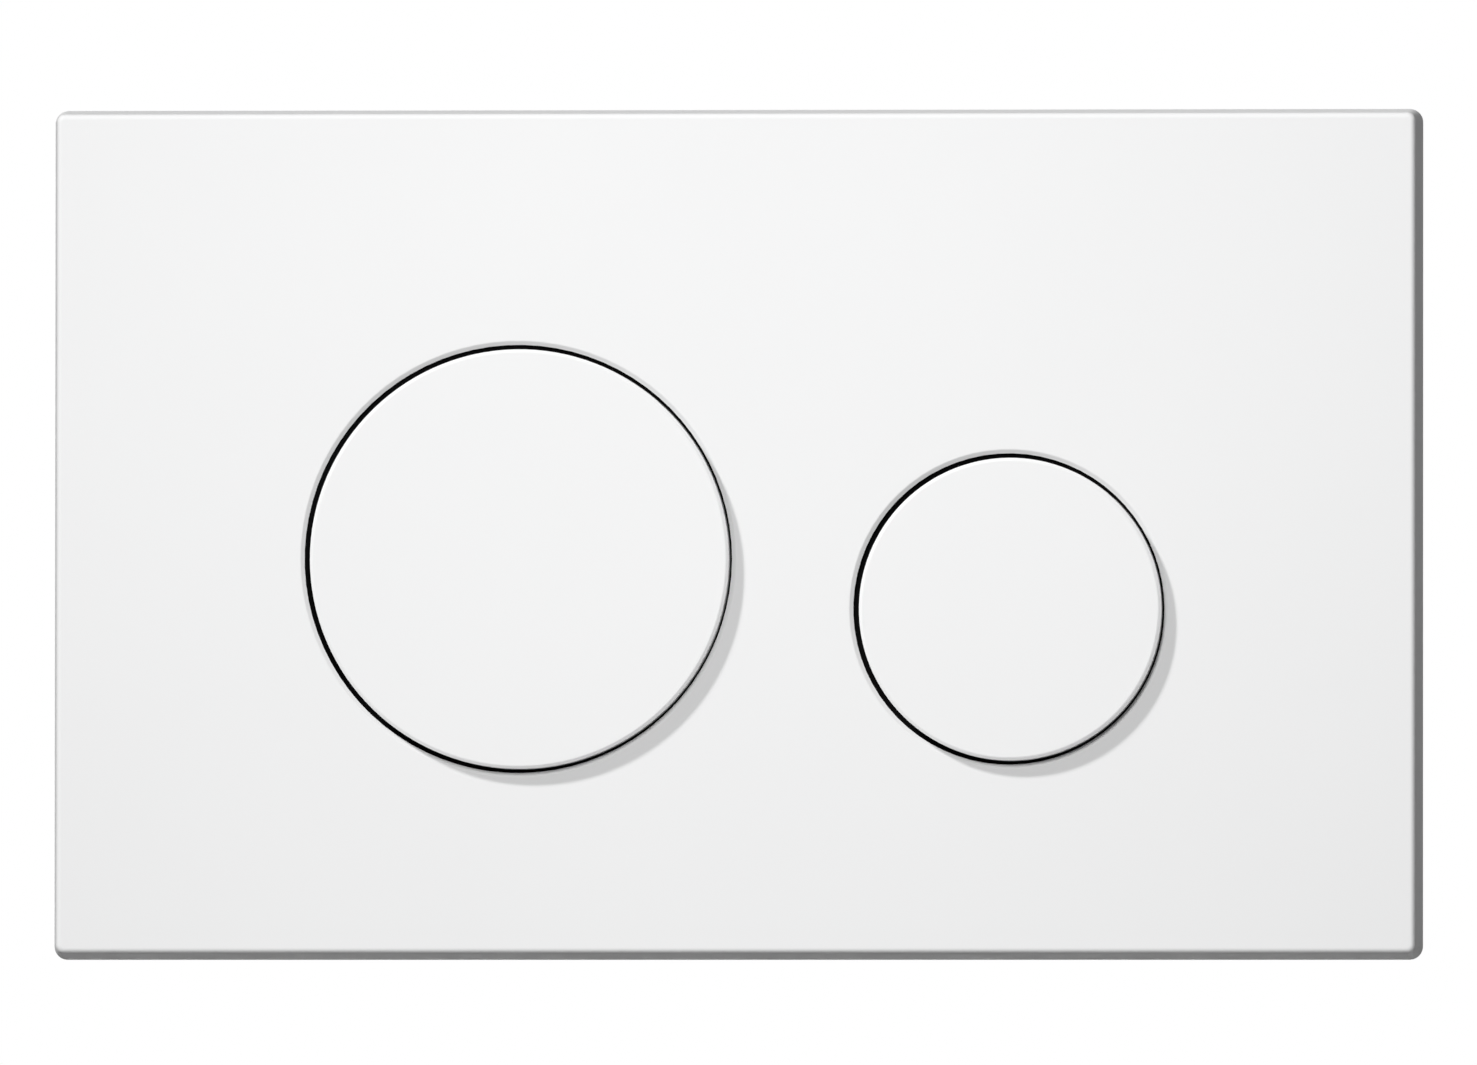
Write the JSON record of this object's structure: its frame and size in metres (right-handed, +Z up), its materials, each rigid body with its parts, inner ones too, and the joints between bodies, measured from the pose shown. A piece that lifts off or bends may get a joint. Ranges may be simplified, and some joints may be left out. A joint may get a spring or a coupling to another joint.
{
  "type": "dual-flush button plate",
  "caption": "White rectangular wall plate with a large and a small round spring-return button, which push rods into a concealed cistern for a full or a half flush.",
  "frame": {"origin": "middle of the cover plate's rear rim, on the wall's face", "axes": "+X right as seen from the room, +Y from the room into the wall, +Z up"},
  "size_m": [0.246, 0.093, 0.1526],
  "materials": {
    "white_abs": "moulded white plastic with a soft gloss",
    "buffer_rubber": "black moulded rubber",
    "bridge_plastic": "light grey moulded plastic, as it leaves the tool",
    "frame_plastic": "dark grey moulded plastic, as it leaves the tool",
    "bush_acetal": "natural slippery plastic, smooth",
    "rod_plastic": "blue threaded plastic rod",
    "nut_plastic": "black moulded plastic",
    "spring_steel": "bright drawn spring steel",
    "zinc_steel": "zinc plated steel"
  },
  "bodies": {
    "plate": {"cover_plate": "white_abs", "bearing_bridge": "bridge_plastic", "bridge_screws": "zinc_steel", "full_guide_bush": "bush_acetal", "half_guide_bush": "bush_acetal", "full_return_spring": "spring_steel", "half_return_spring": "spring_steel", "mounting_frame": "frame_plastic", "retaining_clips": "spring_steel", "fixing_studs": "zinc_steel", "clamp_nuts": "nut_plastic", "clamp_washers": "zinc_steel"},
    "full_button": {"full_flush_button": "white_abs", "full_button_buffer": "buffer_rubber", "full_push_rod": "rod_plastic", "full_rod_locknut": "nut_plastic"},
    "half_button": {"half_flush_button": "white_abs", "half_button_buffer": "buffer_rubber", "half_push_rod": "rod_plastic", "half_rod_locknut": "nut_plastic"}
  },
  "joints": [
    {"name": "full_button_press", "type": "slide", "parent": "plate", "child": "full_button", "axis": [0, 1, 0], "range_m": [0, 0.006], "stiffness_N_per_m": 350, "springref_m": -0.006, "deforming": ["full_return_spring"]},
    {"name": "half_button_press", "type": "slide", "parent": "plate", "child": "half_button", "axis": [0, 1, 0], "range_m": [0, 0.006], "stiffness_N_per_m": 350, "springref_m": -0.006, "deforming": ["half_return_spring"]}
  ]
}
